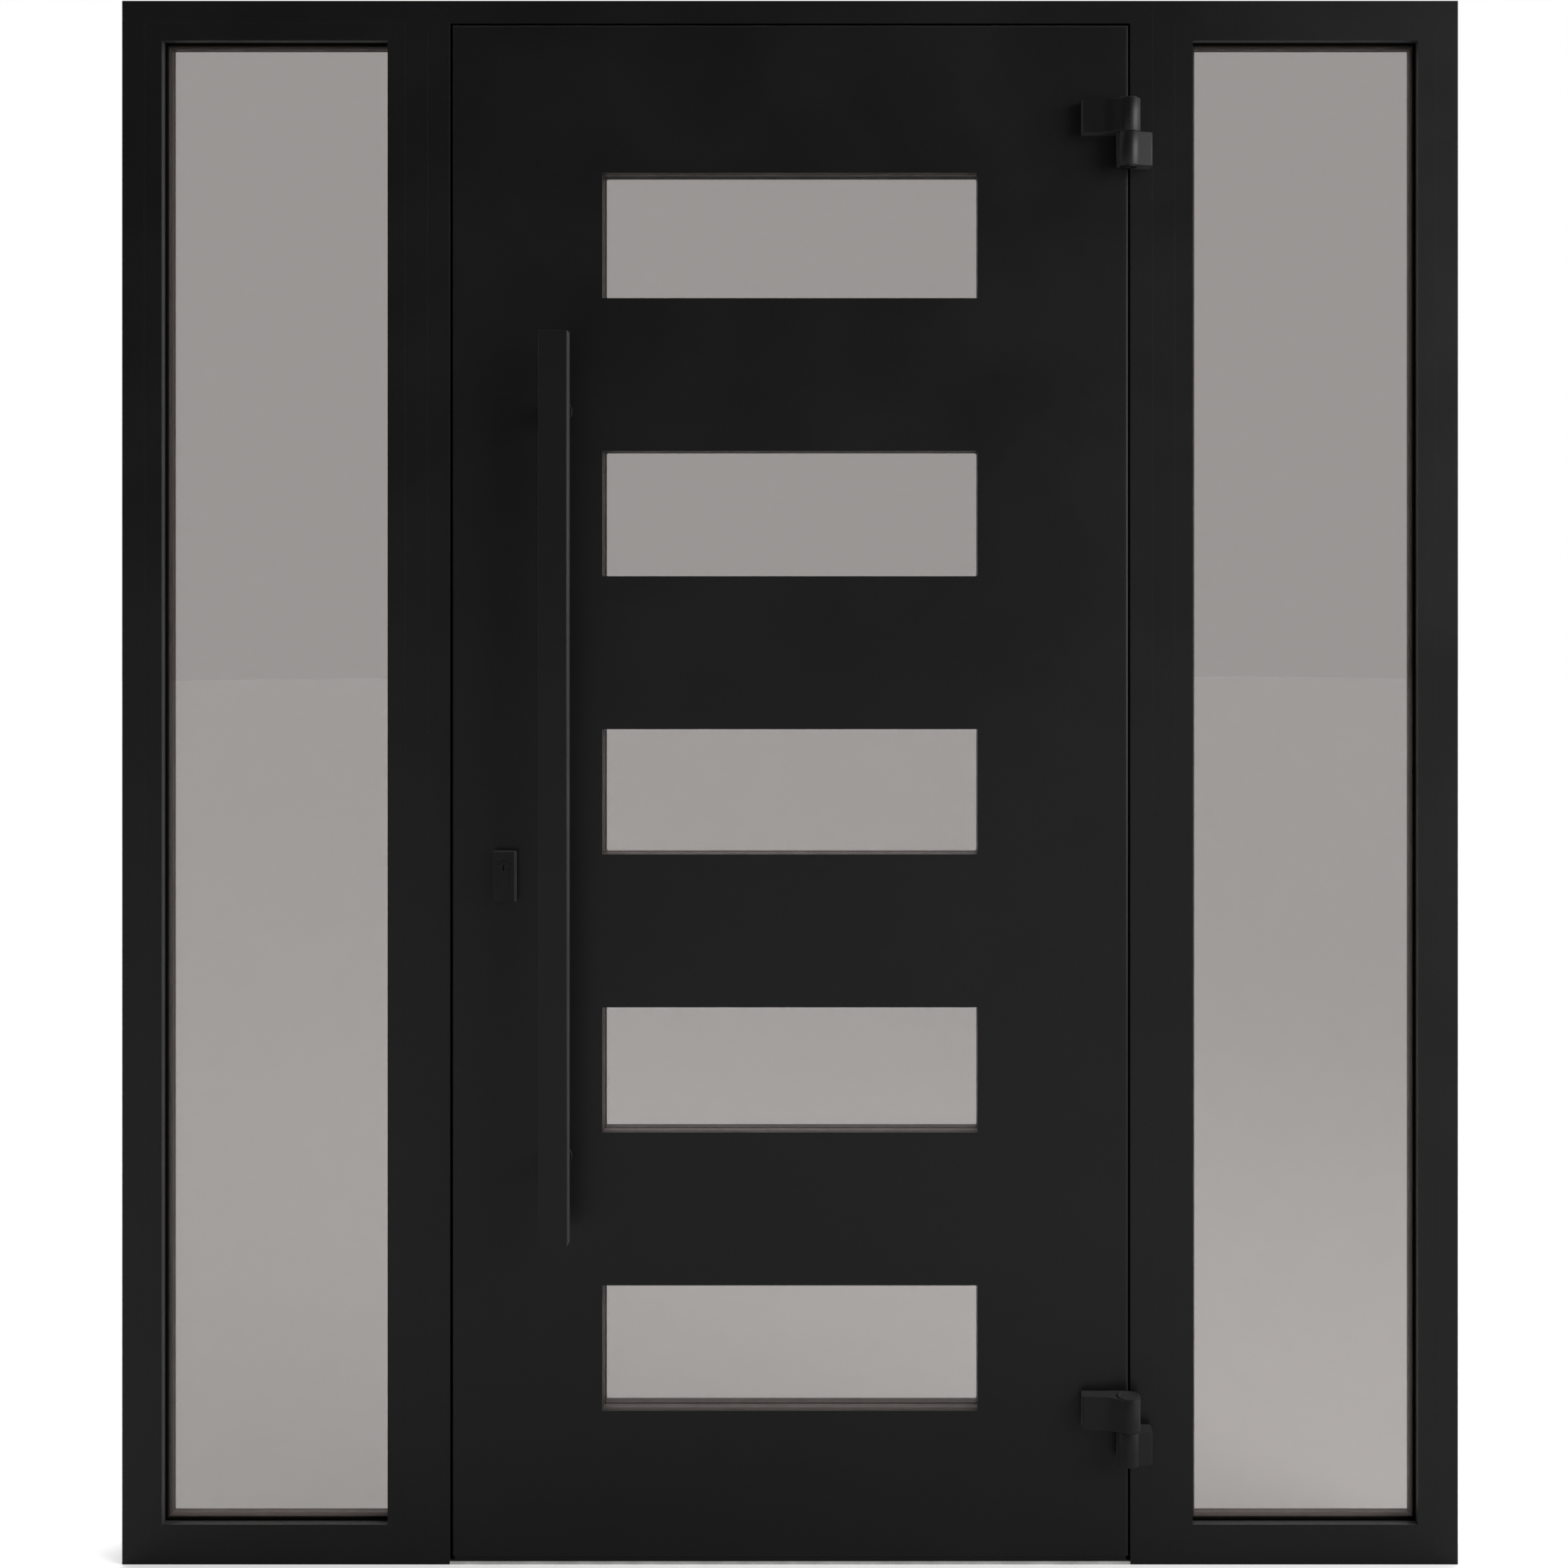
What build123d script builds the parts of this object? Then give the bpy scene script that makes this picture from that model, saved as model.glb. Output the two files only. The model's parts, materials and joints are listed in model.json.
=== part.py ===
from build123d import *

import math
import os

# Aluminium entrance door: a leaf with five lights between two fixed sidelights.
# Millimetres. +X is right seen from outside, the outside faces -Y, +Z is up.
# The origin is on the floor, in the middle of the width and of the frame's depth.

# Overall sizes
OVERALL_HEIGHT = 2100.0
FRAME_DEPTH = 75.0
DOOR_ELEMENT_WIDTH = 974.0
SIDELIGHT_WIDTH = 410.0

# Extruded frame profile, shared by the door frame and the sidelights
FRAME_FACE = 30.0
WALL = 2.0
SHELL_DEPTH = 17.0
NECK_INSET = 3.0
STOP_REACH = 20.0
FLANGE_SPLAY = 17.0

# Door leaf
LEAF_GAP = 5.0
LEAF_SILL_GAP = 5.5
LIP_DEPTH = 28.0
LIP_OVERLAP = 24.0
STOP_GAP = 5.0
LEAF_PROFILE_WIDTH = 90.0
FACE_SHEET = 2.5
BACK_SHEET = 1.5
PANEL_DEPTH = 42.0
PANEL_CLEARANCE = 2.0
LEAF_BEAD_FACE = 20.0
LEAF_CORNER = 2.0
LEAF_EDGE = 1.2

# Threshold
THRESHOLD_HEIGHT = 20.0
THRESHOLD_PLATE = 5.0
THRESHOLD_BEVEL = 3.0
GROOVE_COUNT = 3
GROOVE_START = 10.0
GROOVE_PITCH = 6.0
GROOVE_WIDTH = 2.0
GROOVE_DEPTH = 1.0

# Five lights in the leaf
LIGHT_COUNT = 5
LIGHT_WIDTH = 504.0
LIGHT_HEIGHT = 168.0
LIGHT_END_MARGIN = 196.25
LIGHT_COVER = 12.0
LIGHT_CORNER = 3.0

# Insulating glass and its seat in the sidelights
PANE = 4.0
GLASS_SPACE = 16.0
SIDELIGHT_COVER = 12.0
BEAD_FACE = 23.5
BEAD_DEPTH = 12.0
BEAD_WALL = 1.6
OUTER_GASKET = 2.0
INNER_GASKET = 3.0
GASKET_SHOWN = 4.0
GASKET_HIDDEN = 8.0
SPACER_SHOWN = 6.0

# Seal between the leaf and the stop
SEAL_WIDTH = 6.0
SEAL_OFFSET = 12.0
SEAL_CLEARANCE = 0.5
SEAL_LIFT = 12.0

# Pull bar
BAR_LENGTH = 1200.0
BAR_WIDTH = 38.0
BAR_DEPTH = 20.0
BAR_WALL = 2.0
BAR_CLEARANCE = 42.0
BAR_EDGE_RADIUS = 1.5
BAR_INSET = 144.5
BAR_DROP = 1.5
BAR_CAP = 2.5
POST_SPACING = 1000.0
POST_RADIUS = 11.0
POST_ROSE_RADIUS = 15.0
POST_ROSE = 3.0

# Lock: escutcheon, profile cylinder, mortise case and inside lever
LOCK_INSET = 70.0
LOCK_DEPTH = 54.5
CYLINDER_Z = 938.0
CYLINDER_RADIUS = 8.0
CYLINDER_SLOT = 12.0
CYLINDER_HEIGHT = 38.0
CYLINDER_PROUD = 1.5
CYLINDER_CLEARANCE = 0.3
PLUG_RADIUS = 6.5
PLUG_STEP = 0.6
KEYWAY_WIDTH = 2.0
KEYWAY_HEIGHT = 8.0
KEYWAY_DEPTH = 4.0
ESCUTCHEON_WIDTH = 30.0
ESCUTCHEON_HEIGHT = 68.0
ESCUTCHEON_DEPTH = 12.0
ESCUTCHEON_RADIUS = 1.5
ESCUTCHEON_CHAMFER = 1.0
ESCUTCHEON_DROP = 13.0
CASE_THICKNESS = 15.0
CASE_WIDTH = 58.0
CASE_HEIGHT = 170.0
FACEPLATE_WIDTH = 24.0
FACEPLATE_HEIGHT = 240.0
FACEPLATE = 3.0
PLATE_CLEARANCE = 0.2
STRIKE_HEIGHT = 200.0
BOLT_HOLE_WIDTH = 15.0
BOLT_HOLE_HEIGHT = 36.0
BOLT_CLEARANCE = 1.5
BOLT_PROUD = 1.0
SPINDLE_RISE = 92.0
SPINDLE_SIDE = 8.0
INSIDE_PLATE_WIDTH = 32.0
INSIDE_PLATE_HEIGHT = 240.0
INSIDE_PLATE = 8.0
LEVER_NECK_RADIUS = 9.0
LEVER_REACH = 46.0
LEVER_LENGTH = 98.0
LEVER_HEIGHT = 20.0
LEVER_DEPTH = 10.0
LEVER_CHAMFER = 1.5

# Hinges
HINGE_AXIS_PROUD = 17.5
LOWER_HINGE_RISE = 178.5
UPPER_HINGE_DROP = 147.0
BARREL_RADIUS = 16.0
KNUCKLE_HEIGHT = 44.0
KNUCKLE_GAP = 1.0
LEAF_WING_REACH = 61.0
LEAF_WING_PROUD = 18.5
SHOULDER_REACH = 34.0
SHOULDER_PROUD = 20.5
SWELL_END = 6.0
FRAME_WING_REACH = 31.5
FRAME_WING_PROUD = 22.5
VALLEY_REACH = 12.5
WING_SETBACK = 4.0
WING_EDGE_RADIUS = 2.0
PIN_RADIUS = 6.0
PIN_CLEARANCE = 0.05
COLLAR_RADIUS = 11.0
COLLAR_CLEARANCE = 0.3
PIN_HEAD_RADIUS = 11.5
HINGE_CAP_RADIUS = 14.5
HINGE_CAP = 1.2
HINGE_CAP_PLUG = 5.0

# Places worked out from the sizes above
OUTSIDE = -FRAME_DEPTH / 2
INSIDE = FRAME_DEPTH / 2
DOOR_HALF = DOOR_ELEMENT_WIDTH / 2
DOORWAY_HALF = DOOR_HALF - FRAME_FACE
DOORWAY_TOP = OVERALL_HEIGHT - FRAME_FACE
STOP_FRONT = LIP_DEPTH + STOP_GAP
STOP_HALF = DOORWAY_HALF - STOP_REACH
LEAF_HALF = DOORWAY_HALF - LEAF_GAP
LEAF_BOTTOM = THRESHOLD_PLATE + LEAF_SILL_GAP
LEAF_TOP = DOORWAY_TOP - LEAF_GAP
LEAF_WIDTH = 2 * LEAF_HALF
LEAF_HEIGHT = LEAF_TOP - LEAF_BOTTOM
LEAF_CENTRE_Z = (LEAF_TOP + LEAF_BOTTOM) / 2
LIGHT_PITCH = (LEAF_HEIGHT - 2 * LIGHT_END_MARGIN - LIGHT_HEIGHT) / (LIGHT_COUNT - 1)
GLASS_UNIT = 2 * PANE + GLASS_SPACE
GLAZING_FRONT = BEAD_DEPTH + OUTER_GASKET + GLASS_UNIT + INNER_GASKET
SIDELIGHT_X = DOOR_HALF + SIDELIGHT_WIDTH / 2
GLAZED_WIDTH = SIDELIGHT_WIDTH - 2 * (FRAME_FACE + BEAD_FACE)
GLAZED_HEIGHT = OVERALL_HEIGHT - 2 * (FRAME_FACE + BEAD_FACE)
MIDDLE_Z = OVERALL_HEIGHT / 2
BAR_X = -LEAF_HALF + BAR_INSET
BAR_CENTRE_Z = MIDDLE_Z - BAR_DROP
LOCK_X = -LEAF_HALF + LOCK_INSET
LOCK_Y = OUTSIDE + LOCK_DEPTH
SPINDLE_Z = CYLINDER_Z + SPINDLE_RISE
CASE_Z = (CYLINDER_Z + SPINDLE_Z) / 2
BOLT_PLACES = (CYLINDER_Z, SPINDLE_Z + BOLT_HOLE_HEIGHT / 2)
BODY_EDGE = LEAF_HALF - LIP_OVERLAP
HINGE_Y = OUTSIDE - HINGE_AXIS_PROUD
HINGE_SPLITS = {"lower": LEAF_BOTTOM + LOWER_HINGE_RISE, "upper": LEAF_TOP - UPPER_HINGE_DROP}

SIDES = ("left", "top", "right", "bottom")
SAVED = []


def save(name, *pieces):
    """Writes one node; like pieces that don't touch share it."""
    shape = pieces[0] if len(pieces) == 1 else Compound(children=list(pieces))
    shape.label = name
    export_step(shape, f"parts/{name}.step")
    SAVED.append(name)


def block(x_range, y_range, z_range):
    """A box between two limits on each axis."""
    centre = [(low + high) / 2 for low, high in (x_range, y_range, z_range)]
    size = [high - low for low, high in (x_range, y_range, z_range)]
    return Pos(*centre) * Box(*size)


def centred(middle, size):
    """The two limits of a size about its middle."""
    return middle - size / 2, middle + size / 2


def depth(*depths):
    """Depths behind the outside face, as places along Y."""
    return tuple(OUTSIDE + value for value in depths)


def plan_rectangle(u_range, v_range):
    """A rectangle in a profile's plan, between two limits each way."""
    (u0, u1), (v0, v1) = u_range, v_range
    return Pos((u0 + u1) / 2, (v0 + v1) / 2) * Rectangle(u1 - u0, v1 - v0)


def plan_polygon(*points):
    """A face in a profile's plan from its corners."""
    return make_face(Polyline(*points, close=True))


def frame_profile(flange_front, flange_reach, splay=0.0):
    """Section of a frame profile: two shells on a narrower thermal break, and an inner flange.

    u runs from the outer edge to the opening, v from the outside face inwards. The flange's
    edge leans away from the opening by the splay.
    """
    edge = FRAME_FACE + flange_reach
    back = edge - splay
    neck = (NECK_INSET, FRAME_FACE - NECK_INSET)
    hollow = (flange_front + WALL, FRAME_DEPTH - WALL)
    outline = plan_rectangle((0, FRAME_FACE), (0, SHELL_DEPTH))
    outline += plan_rectangle(neck, (SHELL_DEPTH, flange_front))
    outline += plan_polygon(
        (0, flange_front), (edge, flange_front), (back, FRAME_DEPTH), (0, FRAME_DEPTH)
    )
    outline -= plan_rectangle((WALL, FRAME_FACE - WALL), (WALL, SHELL_DEPTH - WALL))
    outline -= plan_rectangle((neck[0] + WALL, neck[1] - WALL), (SHELL_DEPTH, flange_front))
    outline -= plan_polygon(
        (WALL, hollow[0]), (edge - 2 * WALL, hollow[0]), (back - WALL, hollow[1]), (WALL, hollow[1])
    )
    return outline


def leaf_profile():
    """Section of the leaf's profile: an outer lip over the frame's stop and a deeper body."""
    width = LEAF_PROFILE_WIDTH
    shell_back = FACE_SHEET + SHELL_DEPTH
    neck_back = PANEL_DEPTH + WALL
    body = LIP_OVERLAP + WALL
    outline = plan_rectangle((0, width), (FACE_SHEET, shell_back))
    outline += plan_rectangle((0, LIP_OVERLAP), (FACE_SHEET, LIP_DEPTH))
    outline += plan_rectangle((LIP_OVERLAP, width - NECK_INSET), (shell_back, neck_back))
    outline += plan_rectangle((LIP_OVERLAP, width), (neck_back, FRAME_DEPTH))
    outline -= plan_rectangle((WALL, LIP_OVERLAP - WALL), (FACE_SHEET + WALL, LIP_DEPTH - WALL))
    outline -= plan_rectangle((body, width - WALL), (FACE_SHEET + WALL, shell_back - WALL))
    outline -= plan_rectangle((body, width - NECK_INSET - WALL), (shell_back, neck_back))
    outline -= plan_rectangle((body, width - WALL), (neck_back + WALL, FRAME_DEPTH - WALL))
    return outline


def bead_profile(start, face, v_range):
    """Section of a hollow glazing bead that starts at a distance from the ring's outer edge."""
    front, back = v_range
    outline = plan_rectangle((start, start + face), v_range)
    inner = (start + BEAD_WALL, start + face - BEAD_WALL)
    return outline - plan_rectangle(inner, (front + BEAD_WALL, back - BEAD_WALL))


def ring_members(section, width, height, square_low=()):
    """Four bars of one section round a rectangle, mitred where they meet.

    The section's u runs inwards from the rectangle's edge. The sides named in square_low keep
    a square end at the foot instead of a mitre.
    """
    bars = {}
    reach = section.bounding_box().max.X
    for turn, side in enumerate(SIDES):
        upright = side in ("left", "right")
        half_span, half_length = (width / 2, height / 2) if upright else (height / 2, width / 2)
        if side == "bottom" and square_low:
            continue
        foot, head = reach, reach
        if side in square_low:
            foot, head = (0, reach) if side == "left" else (reach, 0)
        bar = Pos(-half_span, OUTSIDE, -half_length) * extrude(section, 2 * half_length)
        mitre = Plane.XZ * plan_polygon(
            (-half_span, -half_length),
            (-half_span + reach, -half_length + foot),
            (-half_span + reach, half_length - head),
            (-half_span, half_length),
        )
        bars[side] = Rot(0, 90 * turn, 0) * (bar & extrude(mitre, FRAME_DEPTH, both=True))
    return bars


def slab(width, height, depths, corner=0.0):
    """A flat piece in the door's plane about the local origin, with rounded corners if asked."""
    front, back = depth(*depths)
    outline = RectangleRounded(width, height, corner) if corner else Rectangle(width, height)
    return Pos(0, back, 0) * extrude(Plane.XZ * outline, back - front)


def flat_ring(width, height, band, depths, corner=0.0):
    """A flat rectangular ring whose outer size is width by height."""
    opening = slab(width - 2 * band, height - 2 * band, depths, corner)
    return slab(width, height, depths) - opening


def glass_panes(width, height, front):
    """The two panes of an insulating unit, which don't touch."""
    fronts = (front, front + PANE + GLASS_SPACE)
    return [slab(width, height, (pane_front, pane_front + PANE)) for pane_front in fronts]


def profile_cylinder(radius_gap, y_range):
    """The profile cylinder's keyhole shape, between two places along Y."""
    radius = CYLINDER_RADIUS + radius_gap
    half_slot = CYLINDER_SLOT / 2 + radius_gap
    drop = CYLINDER_HEIGHT - CYLINDER_RADIUS - CYLINDER_SLOT / 2
    shape = Circle(radius) + Pos(0, -drop / 2) * Rectangle(2 * half_slot, drop)
    shape += Pos(0, -drop) * Circle(half_slot)
    length = y_range[1] - y_range[0]
    return Pos(LOCK_X, y_range[1], CYLINDER_Z) * extrude(Plane.XZ * shape, length)


def round_bar(radius, z_range):
    """An upright round bar about the local Z axis."""
    return extrude(Pos(0, 0, z_range[0]) * Circle(radius), z_range[1] - z_range[0])


def cross_bar(radius, x, z, y_range):
    """A round bar through the door, along Y."""
    length = y_range[1] - y_range[0]
    return Pos(x, y_range[1], z) * extrude(Plane.XZ * Circle(radius), length)


def spindle_bar(side_gap, y_range):
    """The lever's square spindle, or its hole, between two places along Y."""
    side = SPINDLE_SIDE + 2 * side_gap
    return block(centred(LOCK_X, side), y_range, centred(SPINDLE_Z, side))


def door_frame():
    """Jambs, head, threshold, seal and the strike plate."""
    section = frame_profile(STOP_FRONT, STOP_REACH)
    bars = ring_members(section, DOOR_ELEMENT_WIDTH, OVERALL_HEIGHT, ("left", "right"))
    strike_y = centred(LOCK_Y, FACEPLATE_WIDTH)
    strike_z = centred(CASE_Z, STRIKE_HEIGHT)
    strike_x = (-STOP_HALF - FACEPLATE, -STOP_HALF)
    pocket_y = centred(LOCK_Y, FACEPLATE_WIDTH + 2 * PLATE_CLEARANCE)
    pocket_z = centred(CASE_Z, STRIKE_HEIGHT + 2 * PLATE_CLEARANCE)
    placed = {side: Pos(0, 0, MIDDLE_Z) * bar for side, bar in bars.items()}
    save("door_frame_jamb_left", placed["left"] - block(strike_x, pocket_y, pocket_z))
    save("door_frame_jamb_right", placed["right"])
    save("door_frame_head", placed["top"])

    strike = block(strike_x, strike_y, strike_z)
    for bolt_z in BOLT_PLACES:
        hole_y = centred(LOCK_Y, BOLT_HOLE_WIDTH)
        strike -= block(strike_x, hole_y, centred(bolt_z, BOLT_HOLE_HEIGHT))
    save("strike_plate", strike)


def threshold():
    """Floor strip with a hollow upstand that the leaf closes against."""
    bevel = THRESHOLD_BEVEL
    section = plan_polygon(
        (0, 0),
        (FRAME_DEPTH, 0),
        (FRAME_DEPTH, THRESHOLD_HEIGHT - bevel),
        (FRAME_DEPTH - bevel, THRESHOLD_HEIGHT),
        (STOP_FRONT, THRESHOLD_HEIGHT),
        (STOP_FRONT, THRESHOLD_PLATE),
        (WALL, THRESHOLD_PLATE),
        (0, THRESHOLD_PLATE - WALL),
    )
    hollow_x = (STOP_FRONT + WALL, FRAME_DEPTH - WALL - bevel)
    section -= plan_rectangle(hollow_x, (WALL, THRESHOLD_HEIGHT - WALL))
    for index in range(GROOVE_COUNT):
        start = GROOVE_START + index * GROOVE_PITCH
        groove_z = (THRESHOLD_PLATE - GROOVE_DEPTH, THRESHOLD_PLATE)
        section -= plan_rectangle((start, start + GROOVE_WIDTH), groove_z)
    strip = Pos(0, OUTSIDE, 0) * extrude(Plane.YZ * section, DOORWAY_HALF, both=True)
    for side in (-1, 1):
        ends = sorted((side * STOP_HALF, side * DOORWAY_HALF))
        strip -= block(ends, depth(STOP_FRONT, FRAME_DEPTH), (0, THRESHOLD_HEIGHT))
    save("threshold", strip)


def rebate_seal():
    """Seal on the frame's stop that the leaf's lip presses on."""
    half = DOORWAY_HALF - SEAL_OFFSET
    top = DOORWAY_TOP - SEAL_OFFSET
    ring = flat_ring(2 * half, top - SEAL_LIFT, SEAL_WIDTH, (LIP_DEPTH + SEAL_CLEARANCE, STOP_FRONT))
    save("rebate_seal", Pos(0, 0, (top + SEAL_LIFT) / 2) * ring)


def sidelight(side, x):
    """A fixed light: four mitred profiles, snapped-in beads, gaskets, glass and its spacer."""
    place = Pos(x, 0, MIDDLE_Z)
    names = {"top": "head", "bottom": "sill"}
    names |= {"left": "outer_jamb", "right": "inner_jamb"} if x < 0 else {}
    names |= {"left": "inner_jamb", "right": "outer_jamb"} if x > 0 else {}
    section = frame_profile(GLAZING_FRONT, BEAD_FACE, FLANGE_SPLAY)
    for place_name, bar in ring_members(section, SIDELIGHT_WIDTH, OVERALL_HEIGHT).items():
        save(f"{side}_sidelight_{names[place_name]}", place * bar)

    beads = bead_profile(FRAME_FACE, BEAD_FACE, (0, BEAD_DEPTH))
    bars = ring_members(beads, SIDELIGHT_WIDTH, OVERALL_HEIGHT)
    save(f"{side}_sidelight_upright_beads", place * bars["left"], place * bars["right"])
    save(f"{side}_sidelight_cross_beads", place * bars["top"], place * bars["bottom"])

    glass = (GLAZED_WIDTH + 2 * SIDELIGHT_COVER, GLAZED_HEIGHT + 2 * SIDELIGHT_COVER)
    glass_front = BEAD_DEPTH + OUTER_GASKET
    panes = glass_panes(*glass, glass_front)
    save(f"{side}_sidelight_glass", *(place * pane for pane in panes))
    spacer = (glass_front + PANE, glass_front + PANE + GLASS_SPACE)
    band = SIDELIGHT_COVER + SPACER_SHOWN
    save(f"{side}_sidelight_spacer", place * flat_ring(*glass, band, spacer))

    gasket = (GLAZED_WIDTH + 2 * GASKET_HIDDEN, GLAZED_HEIGHT + 2 * GASKET_HIDDEN)
    band = GASKET_HIDDEN + GASKET_SHOWN
    outer = flat_ring(*gasket, band, (BEAD_DEPTH, glass_front))
    inner = flat_ring(*gasket, band, (glass_front + GLASS_UNIT, GLAZING_FRONT))
    save(f"{side}_sidelight_gaskets", place * outer, place * inner)


def light_places():
    """The heights of the leaf's lights."""
    middle = (LIGHT_COUNT - 1) / 2
    return [LEAF_CENTRE_Z + (index - middle) * LIGHT_PITCH for index in range(LIGHT_COUNT)]


def leaf_frame():
    """The leaf's four mitred profiles, with the lock's cut-outs in the left one."""
    bars = ring_members(leaf_profile(), LEAF_WIDTH, LEAF_HEIGHT)
    placed = {side: Pos(0, 0, LEAF_CENTRE_Z) * bar for side, bar in bars.items()}
    lock_stile = placed["left"] - profile_cylinder(CYLINDER_CLEARANCE, (OUTSIDE, INSIDE))
    pocket_y = centred(LOCK_Y, FACEPLATE_WIDTH + 2 * PLATE_CLEARANCE)
    pocket_z = centred(CASE_Z, FACEPLATE_HEIGHT + 2 * PLATE_CLEARANCE)
    lock_stile -= block((-BODY_EDGE, -BODY_EDGE + FACEPLATE), pocket_y, pocket_z)
    lock_stile -= spindle_bar(CYLINDER_CLEARANCE, (LOCK_Y, INSIDE))
    save("leaf_lock_stile", lock_stile)
    save("leaf_hinge_stile", placed["right"])
    save("leaf_top_rail", placed["top"])
    save("leaf_bottom_rail", placed["bottom"])

    bead = bead_profile(LEAF_PROFILE_WIDTH, LEAF_BEAD_FACE, (PANEL_DEPTH, FRAME_DEPTH))
    bars = ring_members(bead, LEAF_WIDTH, LEAF_HEIGHT)
    placed = {side: Pos(0, 0, LEAF_CENTRE_Z) * bar for side, bar in bars.items()}
    save("leaf_upright_beads", placed["left"], placed["right"])
    save("leaf_cross_beads", placed["top"], placed["bottom"])


def leaf_panel():
    """Face sheet over the whole leaf, insulated core and back sheet, with five cut-outs."""
    middle = Pos(0, 0, LEAF_CENTRE_Z)
    sheet = middle * slab(LEAF_WIDTH, LEAF_HEIGHT, (0, FACE_SHEET), LEAF_CORNER)
    sheet = chamfer(sheet.faces().sort_by(Axis.Y)[0].edges(), LEAF_EDGE)
    sheet -= profile_cylinder(CYLINDER_CLEARANCE, depth(0, FACE_SHEET))
    inset = 2 * (LEAF_PROFILE_WIDTH + PANEL_CLEARANCE)
    core_depths = (FACE_SHEET, PANEL_DEPTH - BACK_SHEET)
    back_depths = (PANEL_DEPTH - BACK_SHEET, PANEL_DEPTH)
    core = middle * slab(LEAF_WIDTH - inset, LEAF_HEIGHT - inset, core_depths)
    back = middle * slab(LEAF_WIDTH - inset, LEAF_HEIGHT - inset, back_depths)
    for light_z in light_places():
        place = Pos(0, 0, light_z)
        pocket = slab(LIGHT_WIDTH + 2 * LIGHT_COVER, LIGHT_HEIGHT + 2 * LIGHT_COVER, core_depths)
        sheet -= place * slab(LIGHT_WIDTH, LIGHT_HEIGHT, (0, FACE_SHEET))
        core -= place * pocket
        back -= place * slab(LIGHT_WIDTH, LIGHT_HEIGHT, back_depths)
    save("leaf_face_sheet", sheet)
    save("leaf_core", core)
    save("leaf_back_sheet", back)


def leaf_lights():
    """Five insulating units behind the face sheet, each with a rim that holds it from inside."""
    size = (LIGHT_WIDTH + 2 * LIGHT_COVER, LIGHT_HEIGHT + 2 * LIGHT_COVER)
    spacer_depths = (FACE_SHEET + PANE, FACE_SHEET + PANE + GLASS_SPACE)
    rim_depths = (FACE_SHEET + GLASS_UNIT, PANEL_DEPTH - BACK_SHEET)
    spacers, rims = [], []
    for number, light_z in enumerate(light_places(), start=1):
        place = Pos(0, 0, light_z)
        panes = glass_panes(*size, FACE_SHEET)
        save(f"leaf_light_{number}", *(place * pane for pane in panes))
        spacers.append(place * flat_ring(*size, LIGHT_COVER, spacer_depths))
        rims.append(place * flat_ring(*size, LIGHT_COVER, rim_depths, LIGHT_CORNER))
    save("leaf_light_spacers", *spacers)
    save("leaf_light_rims", *rims)


def pull_bar():
    """Rectangular tube on two posts, with a flush cap in each end."""
    front = OUTSIDE - BAR_CLEARANCE - BAR_DEPTH
    outline = RectangleRounded(BAR_WIDTH, BAR_DEPTH, BAR_EDGE_RADIUS)
    bore = Rectangle(BAR_WIDTH - 2 * BAR_WALL, BAR_DEPTH - 2 * BAR_WALL)
    place = Pos(BAR_X, front + BAR_DEPTH / 2, BAR_CENTRE_Z)
    save("pull_bar", place * extrude(outline - bore, BAR_LENGTH / 2, both=True))
    caps = []
    for side in (-1, 1):
        ends = sorted((side * (BAR_LENGTH / 2 - BAR_CAP), side * BAR_LENGTH / 2))
        caps.append(place * extrude(Pos(0, 0, ends[0]) * bore, BAR_CAP))
    save("pull_bar_end_caps", *caps)
    posts = []
    for side in (-1, 1):
        post_z = BAR_CENTRE_Z + side * POST_SPACING / 2
        post = cross_bar(POST_RADIUS, BAR_X, post_z, (OUTSIDE - BAR_CLEARANCE, OUTSIDE))
        rose = cross_bar(POST_ROSE_RADIUS, BAR_X, post_z, (OUTSIDE - POST_ROSE, OUTSIDE))
        posts.append(post + rose)
    save("pull_bar_posts", *posts)


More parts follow.
